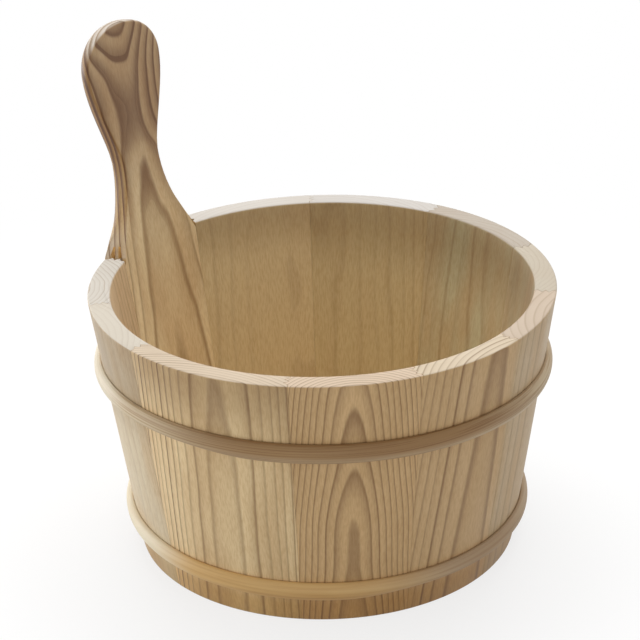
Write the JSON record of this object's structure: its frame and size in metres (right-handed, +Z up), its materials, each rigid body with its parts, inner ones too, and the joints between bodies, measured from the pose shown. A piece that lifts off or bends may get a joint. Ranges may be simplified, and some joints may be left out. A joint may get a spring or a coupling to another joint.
{
  "type": "sauna bucket",
  "caption": "Tapered coopered wooden pail with bent wooden hoops, a boarded bottom and a long stave shaped as an upright paddle handle, for carrying and ladling sauna water.",
  "frame": {"origin": "on the foot's plane, under the middle of the overall box; the bucket's own axis is 8.4 mm from it towards -Y, because the handle leans out on the +Y side", "axes": "+Z up from the foot to the rim, +Y towards the handle, +X to the right of someone who faces the handle's inner face"},
  "size_m": [0.2598, 0.2766, 0.2801],
  "materials": {
    "stave_pine": "sanded, unlacquered",
    "bottom_pine": "planed, unlacquered",
    "hoop_wood": "bent, sanded smooth",
    "brad_steel": "bright drawn wire"
  },
  "bodies": {
    "root": {"handle_stave": "stave_pine", "stave_01": "stave_pine", "stave_02": "stave_pine", "stave_03": "stave_pine", "stave_04": "stave_pine", "stave_05": "stave_pine", "stave_06": "stave_pine", "stave_07": "stave_pine", "stave_08": "stave_pine", "stave_09": "stave_pine", "stave_10": "stave_pine", "bottom_board_left": "bottom_pine", "bottom_board_middle": "bottom_pine", "bottom_board_right": "bottom_pine", "upper_hoop": "hoop_wood", "lower_hoop": "hoop_wood", "upper_hoop_brad_1": "brad_steel", "upper_hoop_brad_2": "brad_steel", "lower_hoop_brad_1": "brad_steel", "lower_hoop_brad_2": "brad_steel"}
  },
  "joints": []
}
